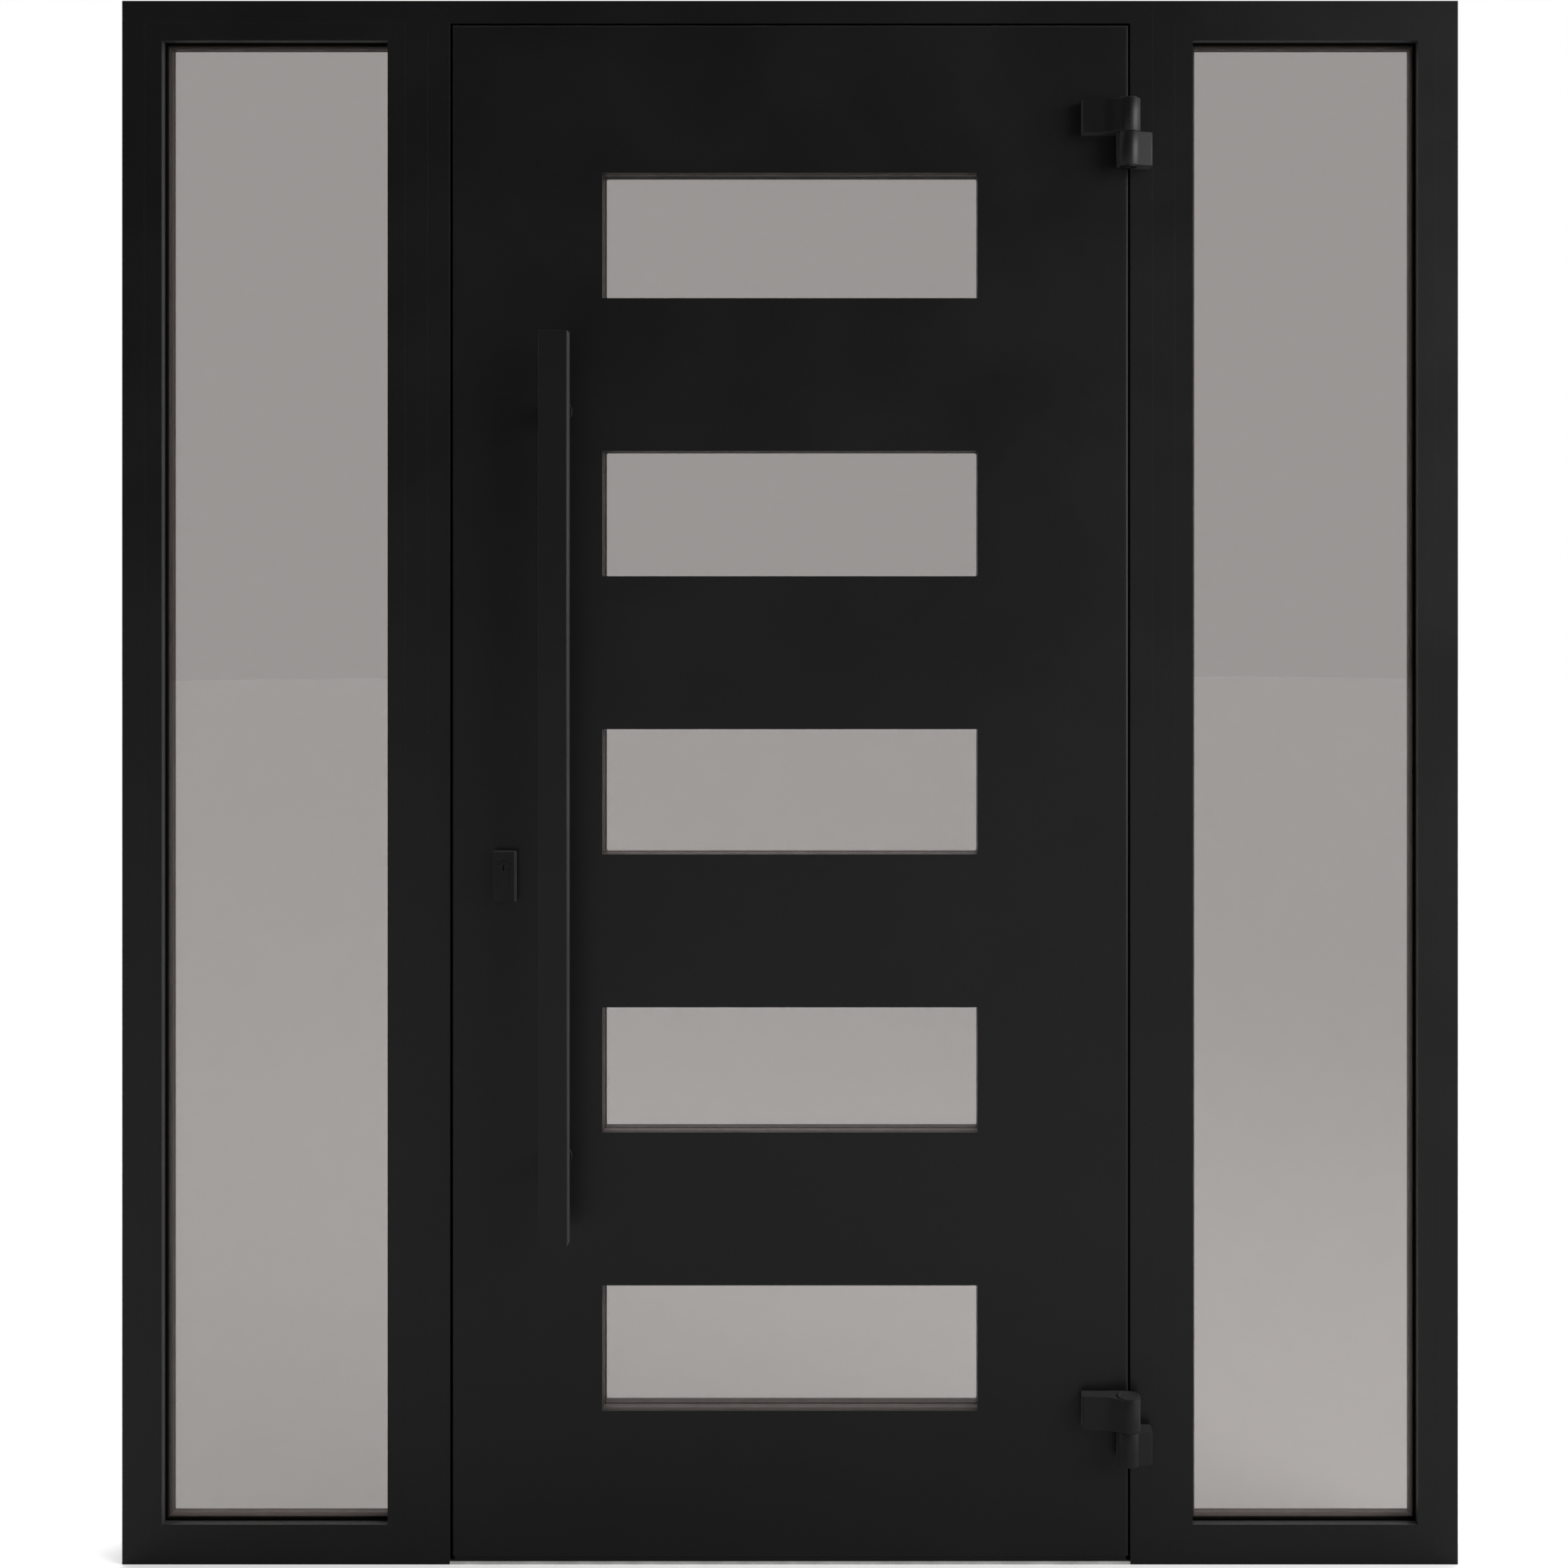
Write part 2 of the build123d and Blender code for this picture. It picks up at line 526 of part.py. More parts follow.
def lock():
    """Outside escutcheon, profile cylinder, mortise case with its faceplate, and inside lever."""
    outer_face = OUTSIDE - ESCUTCHEON_DEPTH
    inner_face = INSIDE + INSIDE_PLATE
    middle = CYLINDER_Z - ESCUTCHEON_DROP
    outline = RectangleRounded(ESCUTCHEON_WIDTH, ESCUTCHEON_HEIGHT, ESCUTCHEON_RADIUS)
    escutcheon = Pos(LOCK_X, OUTSIDE, middle) * extrude(Plane.XZ * outline, ESCUTCHEON_DEPTH)
    front_edges = escutcheon.faces().sort_by(Axis.Y)[0].edges()
    escutcheon = chamfer(front_edges, ESCUTCHEON_CHAMFER)
    save("escutcheon", escutcheon - profile_cylinder(CYLINDER_CLEARANCE, (outer_face, OUTSIDE)))

    ends = (outer_face - CYLINDER_PROUD, inner_face + CYLINDER_PROUD)
    cylinder = profile_cylinder(0, ends)
    for end, inwards in zip(ends, (1, -1)):
        plug = sorted((end, end - inwards * PLUG_STEP))
        keyway = sorted((end - inwards * PLUG_STEP, end + inwards * KEYWAY_DEPTH))
        cylinder += cross_bar(PLUG_RADIUS, LOCK_X, CYLINDER_Z, plug)
        slot_z = centred(CYLINDER_Z, KEYWAY_HEIGHT)
        cylinder -= block(centred(LOCK_X, KEYWAY_WIDTH), keyway, slot_z)
    save("lock_cylinder", cylinder)

    faceplate = block(
        (-BODY_EDGE, -BODY_EDGE + FACEPLATE),
        centred(LOCK_Y, FACEPLATE_WIDTH),
        centred(CASE_Z, FACEPLATE_HEIGHT),
    )
    case_x = (-BODY_EDGE + FACEPLATE, -BODY_EDGE + FACEPLATE + CASE_WIDTH)
    case_y = centred(LOCK_Y, CASE_THICKNESS)
    case = faceplate + block(case_x, case_y, centred(CASE_Z, CASE_HEIGHT))
    bolt_x = (-BODY_EDGE - BOLT_PROUD, -BODY_EDGE)
    bolt_y = centred(LOCK_Y, BOLT_HOLE_WIDTH - 2 * BOLT_CLEARANCE)
    for bolt_z in BOLT_PLACES:
        case += block(bolt_x, bolt_y, centred(bolt_z, BOLT_HOLE_HEIGHT - 2 * BOLT_CLEARANCE))
    case -= profile_cylinder(CYLINDER_CLEARANCE, case_y)
    case -= spindle_bar(CYLINDER_CLEARANCE, case_y)
    save("mortise_lock", case)

    plate_z = centred(CASE_Z, INSIDE_PLATE_HEIGHT)
    plate = block(centred(LOCK_X, INSIDE_PLATE_WIDTH), (INSIDE, inner_face), plate_z)
    plate = fillet(plate.faces().sort_by(Axis.Y)[-1].edges(), ESCUTCHEON_RADIUS)
    plate -= profile_cylinder(CYLINDER_CLEARANCE, (INSIDE, inner_face))
    save("inside_plate", plate - spindle_bar(CYLINDER_CLEARANCE, (INSIDE, inner_face)))

    arm_end = inner_face + LEVER_REACH
    outline = Pos(LEVER_LENGTH / 2, 0) * SlotCenterToCenter(LEVER_LENGTH, LEVER_HEIGHT)
    arm = Pos(LOCK_X, arm_end, SPINDLE_Z) * extrude(Plane.XZ * outline, LEVER_DEPTH)
    arm = chamfer(arm.faces().filter_by(Axis.Y).edges(), LEVER_CHAMFER)
    neck_y = (inner_face, arm_end - LEVER_DEPTH / 2)
    lever = arm + cross_bar(LEVER_NECK_RADIUS, LOCK_X, SPINDLE_Z, neck_y)
    lever += spindle_bar(0, (LOCK_Y - CASE_THICKNESS / 2, inner_face))
    save("inside_lever", lever)


def barrel_front(x):
    """The place on the barrel's front at a distance along X; its centre is the plan's origin."""
    return x, -math.sqrt(BARREL_RADIUS**2 - x**2)


def leaf_wing_plan():
    """Plan of a hinge's leaf half: a plate on the leaf that swells into the barrel's front."""
    edge = (-LEAF_WING_REACH, HINGE_AXIS_PROUD - LEAF_WING_PROUD)
    shoulder = (-SHOULDER_REACH, HINGE_AXIS_PROUD - SHOULDER_PROUD)
    touch = barrel_front(-SWELL_END)
    plate_run = (shoulder[0] - edge[0], shoulder[1] - edge[1])
    barrel_run = (-touch[1], touch[0])
    swell = Spline(shoulder, touch, tangents=(plate_run, barrel_run))
    setback = (-WING_SETBACK, HINGE_AXIS_PROUD)
    foot = (-LEAF_WING_REACH, HINGE_AXIS_PROUD)
    rest = Polyline(touch, (0, 0), setback, foot, edge, shoulder)
    return make_face(swell + rest) + Circle(BARREL_RADIUS)


def frame_wing_plan():
    """Plan of a hinge's frame half: a sloping plate on the frame that meets the barrel in a valley."""
    wing = plan_polygon(
        (0, 0),
        barrel_front(VALLEY_REACH),
        (FRAME_WING_REACH, HINGE_AXIS_PROUD - FRAME_WING_PROUD),
        (FRAME_WING_REACH, HINGE_AXIS_PROUD),
        (WING_SETBACK, HINGE_AXIS_PROUD),
    )
    return wing + Circle(BARREL_RADIUS)


def knuckle(plan, foot, wing_end):
    """A hinge half from its plan, with the front corner rounded at its wing's end.

    wing_end counts the upright edges' groups along X: 0 is the left end, -1 the right end.
    """
    half = extrude(Pos(0, 0, foot) * plan, KNUCKLE_HEIGHT)
    upright = half.edges().filter_by(Axis.Z).group_by(Axis.X)[wing_end]
    return fillet(upright.sort_by(Axis.Y)[0], WING_EDGE_RADIUS)


def hinges():
    """Two lift-off hinges: each has a leaf half above, a frame half below and a pin."""
    pins, caps = [], []
    for name, split in HINGE_SPLITS.items():
        place = Pos(LEAF_HALF, HINGE_Y, split)
        gap = KNUCKLE_GAP / 2
        top, foot = gap + KNUCKLE_HEIGHT, -gap - KNUCKLE_HEIGHT

        leaf_half = knuckle(leaf_wing_plan(), gap, 0)
        leaf_half -= round_bar(PIN_RADIUS + PIN_CLEARANCE, (gap, top))
        save(f"{name}_hinge_leaf_wing", place * leaf_half)

        frame_half = knuckle(frame_wing_plan(), foot, -1)
        frame_half -= round_bar(PIN_RADIUS, (foot, -gap))
        save(f"{name}_hinge_frame_wing", place * frame_half)

        pin = round_bar(PIN_RADIUS, (foot, top - 2 * HINGE_CAP_PLUG))
        pin += round_bar(PIN_HEAD_RADIUS, (foot - HINGE_CAP, foot))
        pin += round_bar(COLLAR_RADIUS, (-gap, gap - COLLAR_CLEARANCE))
        pins.append(place * pin)
        cap = round_bar(HINGE_CAP_RADIUS, (top, top + HINGE_CAP))
        caps.append(place * (cap + round_bar(PIN_RADIUS, (top - HINGE_CAP_PLUG, top))))
    save("hinge_pins", *pins)
    save("hinge_caps", *caps)


def build():
    """Every piece, from the wall inwards."""
    os.makedirs("parts", exist_ok=True)
    door_frame()
    threshold()
    rebate_seal()
    sidelight("left", -SIDELIGHT_X)
    sidelight("right", SIDELIGHT_X)
    leaf_frame()
    leaf_panel()
    leaf_lights()
    pull_bar()
    lock()
    hinges()
    print(len(SAVED), "nodes")


build()
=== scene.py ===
import json
import math

import bmesh
import bpy
from mathutils import Matrix, Vector


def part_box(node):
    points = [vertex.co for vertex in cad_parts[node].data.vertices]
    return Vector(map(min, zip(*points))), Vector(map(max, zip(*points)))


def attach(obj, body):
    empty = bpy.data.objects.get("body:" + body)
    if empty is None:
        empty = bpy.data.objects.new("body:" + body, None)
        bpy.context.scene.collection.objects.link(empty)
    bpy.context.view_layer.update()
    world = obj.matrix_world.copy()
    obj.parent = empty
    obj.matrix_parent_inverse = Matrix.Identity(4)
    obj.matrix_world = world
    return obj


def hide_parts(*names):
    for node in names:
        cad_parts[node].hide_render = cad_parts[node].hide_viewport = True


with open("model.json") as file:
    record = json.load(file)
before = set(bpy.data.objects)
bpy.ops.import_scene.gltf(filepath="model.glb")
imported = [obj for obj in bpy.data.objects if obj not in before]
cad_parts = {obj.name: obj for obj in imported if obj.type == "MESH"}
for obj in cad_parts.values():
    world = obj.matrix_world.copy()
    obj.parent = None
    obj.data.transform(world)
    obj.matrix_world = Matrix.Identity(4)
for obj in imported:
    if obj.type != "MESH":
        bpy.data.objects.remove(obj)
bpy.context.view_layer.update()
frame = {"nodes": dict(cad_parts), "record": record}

# An aluminium entrance door with two sidelights, dressed for its photograph.
# Metres, in the model's own frame: the outside faces -Y, +X is right seen from outside.

MM = 0.001

# The photograph's view: width and middle (x, z) at the frame's front plane, camera (x, z), distance
FRONT_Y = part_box("door_frame_head")[0][1]
PICTURE_WIDTH = 2.1056
PICTURE_MIDDLE = (-0.0081, 1.0482)
CAMERA = (0.138, 1.294)
CAMERA_DISTANCE = 2.5
SENSOR = 36.0
VIEW_REACH = 100.0

# Sizes shared with the CAD model
GASKET_HIDDEN = 8 * MM
OUTER_GASKET = 2 * MM
INNER_GASKET = 3 * MM
SPACER_SHOWN = 6 * MM
LIGHT_COVER = 12 * MM
LIGHT_COUNT = 5
LEAF_GAP = 5 * MM
SILL_GAP = 5.5 * MM
BOLT_PROUD = 1 * MM
HINGE_CAP = 1.2 * MM

# Softened edges of the CAD pieces, and the largest angle that is shaded smooth
PROFILE_EDGE = 0.12 * MM
FITTING_EDGE = 0.4 * MM
ROUNDED_EDGE = 0.8 * MM
WELD_REACH = 0.01 * MM
EDGE_ANGLE = math.radians(40)
SMOOTH_ANGLE = math.radians(35)

# Gasket: its shoulder in millimetres as (past its hidden part, away from the seat), and its lip
# in millimetres as (short of the lip's end, away from the glass)
GASKET_SHOWN = 3 * MM
GASKET_SLACK = 0.6 * MM
GASKET_HEEL = 0.4 * MM
GASKET_SHOULDER = ((0.2, 0.0), (0.3, 0.7), (0.9, 1.0), (1.7, 0.7))
GASKET_LIP = ((0.8, 1.1), (0.15, 0.6), (0.0, 0.2), (0.1, 0.0))

# Spacer: its front slope in millimetres as (below the top, behind the front), and the groove in
# its top as (millimetres below the top, share of the width)
SPACER_SLOPE = ((2.8, 0.0), (2.4, 0.3), (0.6, 3.6), (0.0, 5.4))
SPACER_GROOVE = ((0.0, 0.6), (0.15, 0.62), (0.15, 0.66), (0.0, 0.68), (0.0, 1.0))

# Bulb seal: a flat foot with a bulb in its middle, drawn from an angle through a sweep in degrees
BULB_RADIUS = 2.2 * MM
BULB_MIDDLE = 3 * MM
BULB_STEPS = 8
BULB_START, BULB_SWEEP = 200, 220
SEAL_WIDTH = 6 * MM
SEAL_FOOT = 1.2 * MM
SEAL_NECK = 1.4 * MM

# Lip seal, in millimetres as (y, z) from the lower front corner of the face sheet
SWEEP_LIP = (
    (1.6, 0.0), (1.8, -1.4), (1.3, -2.0), (1.2, -4.4), (1.8, -4.9),
    (2.6, -4.3), (3.2, -2.0), (9.0, -1.2), (9.0, 0.0),
)
SWEEP_MARGIN = 1 * MM

# Threshold insert, in millimetres as (y, z) from the plate's top below the sheet's front
INSERT_NOSE = ((1.0, -1.6), (0.9, -1.0), (2.2, 0.3))
INSERT_RIBS = 14
INSERT_START, INSERT_PITCH = 2.4, 2.0
INSERT_RIB = ((1.0, 0.3), (1.5, 0.1))
INSERT_TAIL = ((2.0, 0.3), (2.2, -1.6))
INSERT_MARGIN = 0.2 * MM

# Gap lining, a black sheet that paints shade into the gap round the leaf: how far it stands off the
# jamb, how thick it is, and where it starts and ends
LINING_OFFSET = 0.05 * MM
LINING_THICKNESS = 0.5 * MM
LINING_START, LINING_END = 1.2 * MM, 30 * MM

# Leaf edge trim: reach at its left and at its right and top, its rounding, its leg on the sheet
EDGE_LEFT = 1.5 * MM
EDGE_RIGHT = 2.2 * MM
EDGE_ROUNDING = 3 * MM
EDGE_STEPS = 6
EDGE_LEG = 1.5 * MM
EDGE_SHOULDER = 1.3 * MM
EDGE_PROUD = 0.03 * MM
EDGE_DEPTH = 9 * MM
EDGE_BACK = 0.3 * MM
EDGE_FOOT = 1 * MM

# Turned pieces: hinge cap rings in millimetres as (inside the rim, height), with its dish's middle
# as (radius, height), and screw head rings in shares of the radius as (radius, height, hexagonal)
TURNED_STEPS = 48
CAP_RINGS = (
    (0.1, 0.0), (0.0, 0.2), (0.0, 0.7), (0.4, 1.05),
    (1.0, 1.2), (1.7, 1.2), (2.2, 0.8), (3.4, 0.7),
)
CAP_MIDDLE = (1.0, 0.75)
SCREW_RINGS = (
    (1.0, -0.2, False), (1.0, 0.06, False), (0.94, 0.13, False), (0.7, 0.15, False),
    (0.6, 0.13, False), (0.5, 0.1, True), (0.48, -0.15, True),
)
PIN_SOCKET_RADIUS = 5 * MM
PLATE_SCREW_RADIUS = 4 * MM
SET_SCREW_RADIUS = 3 * MM
SET_SCREW_DEPTH = 10 * MM
ROSE_STEP = 4 * MM
FACEPLATE_MARGIN = 9 * MM
STRIKE_MARGIN = 12 * MM
INSIDE_PLATE_MARGIN = 14 * MM

# Colours
COAT_DARK = (0.006, 0.006, 0.0061)
COAT_LIGHT = (0.0085, 0.0085, 0.0085)
# Painted highlight, added to the coat on its side faces
COAT_SIDE_HIGHLIGHT = (0.026, 0.026, 0.026)
GLASS_TINT = (0.572, 0.554, 0.547)
RUBBER_BLACK = (0.0012, 0.0012, 0.0012)
SPACER_TAN = (0.055, 0.045, 0.039)
TRIM_BROWN = (0.016, 0.0105, 0.009)
# Painted light on the upward faces of the spacers and trims
PAINTED_TOP_LIGHT = (0.125, 0.106, 0.1)
FOAM_CREAM = (0.8, 0.76, 0.6)
MILL_METAL = (0.8, 0.8, 0.78)
STAINLESS = (0.6, 0.59, 0.57)
BLACKENED = (0.035, 0.035, 0.036)

# Surfaces: noise scales per metre, bumps as (strength, depth), ranges as (low, high), and the
# stretch of a grain along each axis
COAT_CLOUDS, COAT_SPECKS, COAT_GRAIN, COAT_PEEL = 6.0, 650.0, 1500.0, 260.0
COAT_GRAIN_BUMP = (0.25, 0.12 * MM)
COAT_PEEL_BUMP = (0.06, 0.6 * MM)
COAT_ROUGHNESS = (0.32, 0.44)
COAT_PATCHES = (-0.02, 0.04)
COAT_SPECULAR, COAT_SHEEN, COAT_SHEEN_ROUGHNESS = 0.2, 0.1, 0.3
CLOUD_SHARE = 0.55
SPECK_RANGE = (0.55, 1.0)
DARK_SHARE = 0.8
METAL_LINES, METAL_CLOUDS = 900.0, 25.0
METAL_BUMP = (0.25, 0.05 * MM)
METAL_SCATTER = (-0.07, 0.09)
MOULDED_CLOUDS, MOULDED_GRAIN, FOAM_GRAIN = 45.0, 1200.0, 500.0
MOULDED_BUMP = (0.08, 0.06 * MM)
MOULDED_SCATTER = (-0.06, 0.08)
GLASS_WAVES = 2.2
GLASS_BUMP = (0.02, 2 * MM)
GLASS_IOR = 1.26
ALONG_X = (0.01, 1.0, 1.0)
ALONG_Z = (1.0, 1.0, 0.01)
EVEN = (1.0, 1.0, 1.0)

# Which way a face looks: ranges of its direction's Z and Y over which each mask comes in
# UPWARD_Z bounds the painted light on upward faces
UPWARD_Z = (0.3, 0.9)
# FACING_Y and SIDEWAYS_Z bound the painted highlight on side faces
FACING_Y = (0.2, 0.9)
SIDEWAYS_Z = (-0.6, -0.1)

# The studio: a dim room in front of the door, a bright wall at its right, a dimmer one at its
# left, and a bright ceiling behind it
FRONT_LEVEL = 0.03
LEFT_LEVEL = 0.33
RIGHT_LEVEL = 1.2
INSIDE_LEVEL = 0.5
CEILING_LEVEL = 3.0
BESIDE_Y = (-0.75, 0.0)
BEHIND_Y = (0.0, 0.5)
WALLS_X = (-0.8, 0.8)
CEILING_Z = (0.1, 0.8)
KEY_PLACE = (3.3, -1.6, 2.1)
KEY_TARGET = (0.0, 0.0, 1.1)
KEY_SIZE = (3.0, 2.4)
KEY_POWER = 50.0
LAMP_SPREAD = math.radians(90)
FLOOR_RADIUS = 30.0
FLOOR_STEPS = 96
FLOOR_COLOUR = (0.8, 0.8, 0.8)
FLOOR_BOUNCE = (0.68, 0.68, 0.68)
FLOOR_GLOW = 0.3
FLOOR_ROUGHNESS = 0.9


# Node helpers


def find_node(tree, kind):
    """The one node of a kind that a new tree starts with."""
    return next(node for node in tree.nodes if node.type == kind)


def new_material(name):
    """A node material with a Principled shader; returns it with its tree and shader."""
    material = bpy.data.materials.new(name)
    material.use_nodes = True
    tree = material.node_tree
    return material, tree, find_node(tree, "BSDF_PRINCIPLED")


def add(tree, kind, inputs=None, **settings):
    """One node with its settings and unlinked input values."""
    node = tree.nodes.new(kind)
    for name, value in settings.items():
        setattr(node, name, value)
    for name, value in (inputs or {}).items():
        node.inputs[name].default_value = value
    return node


def object_point(tree, stretch=EVEN):
    """Object coordinates, stretched along the axes."""
    point = add(tree, "ShaderNodeTexCoord").outputs["Object"]
    mapping = add(tree, "ShaderNodeMapping", {"Scale": stretch})
    tree.links.new(point, mapping.inputs["Vector"])
    return mapping.outputs["Vector"]


def noise(tree, point, scale, detail=2.0, roughness=0.5):
    """A noise value over a point."""
    inputs = {"Scale": scale, "Detail": detail, "Roughness": roughness}
    node = add(tree, "ShaderNodeTexNoise", inputs)
    tree.links.new(point, node.inputs["Vector"])
    return node.outputs["Fac"]


def spread(tree, value, low, high, start=0.3, end=0.7):
    """A value between start and end, stretched to run smoothly from low to high."""
    inputs = {"From Min": start, "From Max": end, "To Min": low, "To Max": high}
    node = add(tree, "ShaderNodeMapRange", inputs, interpolation_type="SMOOTHSTEP")
    tree.links.new(value, node.inputs["Value"])
    return node.outputs["Result"]


def combine(tree, operation, first, second):
    """A sum, product or the like of two outputs or numbers."""
    node = add(tree, "ShaderNodeMath", operation=operation)
    for socket, value in zip(node.inputs, (first, second)):
        if isinstance(value, bpy.types.NodeSocket):
            tree.links.new(value, socket)
        else:
            socket.default_value = value
    return node.outputs["Value"]


def blend_colours(tree, value, first, second, blend_type="MIX"):
    """A colour made of two colours or outputs by a value."""
    node = add(tree, "ShaderNodeMix", data_type="RGBA", blend_type=blend_type)
    colours = [socket for socket in node.inputs if socket.type == "RGBA"]
    for socket, colour in zip(colours, (first, second)):
        if isinstance(colour, bpy.types.NodeSocket):
            tree.links.new(colour, socket)
        else:
            socket.default_value = (*colour, 1.0)
    tree.links.new(value, node.inputs["Factor"])
    return next(socket for socket in node.outputs if socket.type == "RGBA")


def bump(tree, height, strength, distance, before=None):
    """A bump from a height, on top of an earlier one."""
    node = add(tree, "ShaderNodeBump", {"Strength": strength, "Distance": distance})
    tree.links.new(height, node.inputs["Height"])
    if before is not None:
        tree.links.new(before, node.inputs["Normal"])
    return node.outputs["Normal"]


def background_rays(tree, glossy_share):
    """1 for the rays that show the background: the camera's and those by glass and gloss."""
    rays = add(tree, "ShaderNodeLightPath").outputs
    glossy = combine(tree, "MULTIPLY", rays["Is Glossy Ray"], glossy_share)
    direct = combine(tree, "MAXIMUM", rays["Is Camera Ray"], rays["Is Transmission Ray"])
    return combine(tree, "MAXIMUM", direct, glossy)


def surface_normal(tree):
    """The parts of the surface's own direction, fixed to the object."""
    parts = add(tree, "ShaderNodeSeparateXYZ")
    normal = add(tree, "ShaderNodeTexCoord").outputs["Normal"]
    tree.links.new(normal, parts.inputs["Vector"])
    return parts.outputs


def upward_faces(tree):
    """1 where a face looks up, 0 elsewhere."""
    return spread(tree, surface_normal(tree)["Z"], 0.0, 1.0, *UPWARD_Z)


def side_highlight_mask(tree):
    """1 where a face looks sideways or up, 0 on fronts, backs and undersides: where the coat gets its
    painted highlight.
    """
    normal = surface_normal(tree)
    facing = combine(tree, "ABSOLUTE", normal["Y"], 0.0)
    sideways = spread(tree, facing, 1.0, 0.0, *FACING_Y)
    return combine(tree, "MULTIPLY", sideways, spread(tree, normal["Z"], 0.0, 1.0, *SIDEWAYS_Z))


# Materials


def powder_coat(name):
    """Matt black powder coat: a fine grain over a faint orange peel, with a painted highlight on the
    side faces.
    """
    material, tree, shader = new_material(name)
    point = object_point(tree)
    cloud = noise(tree, point, COAT_CLOUDS, detail=3.0)
    specks = noise(tree, point, COAT_SPECKS, roughness=0.6)
    fine = noise(tree, point, COAT_GRAIN, roughness=0.7)
    tone = combine(tree, "ADD", combine(tree, "MULTIPLY", cloud, CLOUD_SHARE), specks)
    mixed = blend_colours(tree, spread(tree, tone, 0.0, 1.0, *SPECK_RANGE), COAT_DARK, COAT_LIGHT)
    # Painted highlight: the side faces are made paler, as if lit from the sides
    painted_side_highlight = blend_colours(tree, side_highlight_mask(tree), mixed, COAT_SIDE_HIGHLIGHT, "ADD")
    tree.links.new(painted_side_highlight, shader.inputs["Base Color"])
    grain_gloss = spread(tree, fine, *COAT_ROUGHNESS)
    rough = combine(tree, "ADD", grain_gloss, spread(tree, cloud, *COAT_PATCHES))
    tree.links.new(rough, shader.inputs["Roughness"])
    shader.inputs["Specular IOR Level"].default_value = COAT_SPECULAR
    shader.inputs["Sheen Weight"].default_value = COAT_SHEEN
    shader.inputs["Sheen Roughness"].default_value = COAT_SHEEN_ROUGHNESS
    soft = bump(tree, noise(tree, point, COAT_PEEL, detail=1.0), *COAT_PEEL_BUMP)
    tree.links.new(bump(tree, fine, *COAT_GRAIN_BUMP, soft), shader.inputs["Normal"])
    return material


def drawn_metal(name, colour, roughness, stretch):
    """Bare metal with fine lines along the axis whose stretch is smallest."""
    material, tree, shader = new_material(name)
    lines = noise(tree, object_point(tree, stretch), METAL_LINES, detail=3.0, roughness=0.6)
    cloud = noise(tree, object_point(tree), METAL_CLOUDS, detail=3.0)
    mixed = blend_colours(tree, spread(tree, cloud, 0.0, 1.0), darker(colour), colour)
    tree.links.new(mixed, shader.inputs["Base Color"])
    rough = spread(tree, lines, *[roughness + change for change in METAL_SCATTER])
    tree.links.new(rough, shader.inputs["Roughness"])
    shader.inputs["Metallic"].default_value = 1.0
    tree.links.new(bump(tree, lines, *METAL_BUMP), shader.inputs["Normal"])
    return material


def moulded(name, colour, roughness, specular, grain_scale=MOULDED_GRAIN, top_light=None):
    """Rubber or plastic: two close tones in soft clouds, a fine grain, maybe painted light that makes
    its upward faces paler.
    """
    material, tree, shader = new_material(name)
    point = object_point(tree)
    cloud = noise(tree, point, MOULDED_CLOUDS, detail=4.0)
    mixed = blend_colours(tree, spread(tree, cloud, 0.0, 1.0), darker(colour), colour)
    if top_light is not None:
        # Painted light: upward faces are made paler, as if lit from above
        mixed = blend_colours(tree, upward_faces(tree), mixed, top_light)
    tree.links.new(mixed, shader.inputs["Base Color"])
    rough = spread(tree, cloud, *[roughness + change for change in MOULDED_SCATTER])
    tree.links.new(rough, shader.inputs["Roughness"])
    shader.inputs["Specular IOR Level"].default_value = specular
    grain = noise(tree, point, grain_scale)
    tree.links.new(bump(tree, grain, *MOULDED_BUMP), shader.inputs["Normal"])
    return material


def clear_glass(name):
    """Grey-tinted float glass that lets lamps through to what stands behind it."""
    material, tree, shader = new_material(name)
    shader.inputs["Base Color"].default_value = (*GLASS_TINT, 1.0)
    shader.inputs["Transmission Weight"].default_value = 1.0
    shader.inputs["Roughness"].default_value = 0.0
    shader.inputs["IOR"].default_value = GLASS_IOR
    waves = noise(tree, object_point(tree), GLASS_WAVES, detail=1.0)
    tree.links.new(bump(tree, waves, *GLASS_BUMP), shader.inputs["Normal"])
    clear = add(tree, "ShaderNodeBsdfTransparent")
    clear.inputs["Color"].default_value = (*(channel**0.5 for channel in GLASS_TINT), 1.0)
    rays = add(tree, "ShaderNodeLightPath")
    mix = add(tree, "ShaderNodeMixShader")
    tree.links.new(rays.outputs["Is Shadow Ray"], mix.inputs["Fac"])
    tree.links.new(shader.outputs["BSDF"], mix.inputs[1])
    tree.links.new(clear.outputs["BSDF"], mix.inputs[2])
    tree.links.new(mix.outputs["Shader"], find_node(tree, "OUTPUT_MATERIAL").inputs["Surface"])
    return material


def darker(colour):
    """The darker of a finish's two close tones."""
    return tuple(DARK_SHARE * channel for channel in colour)


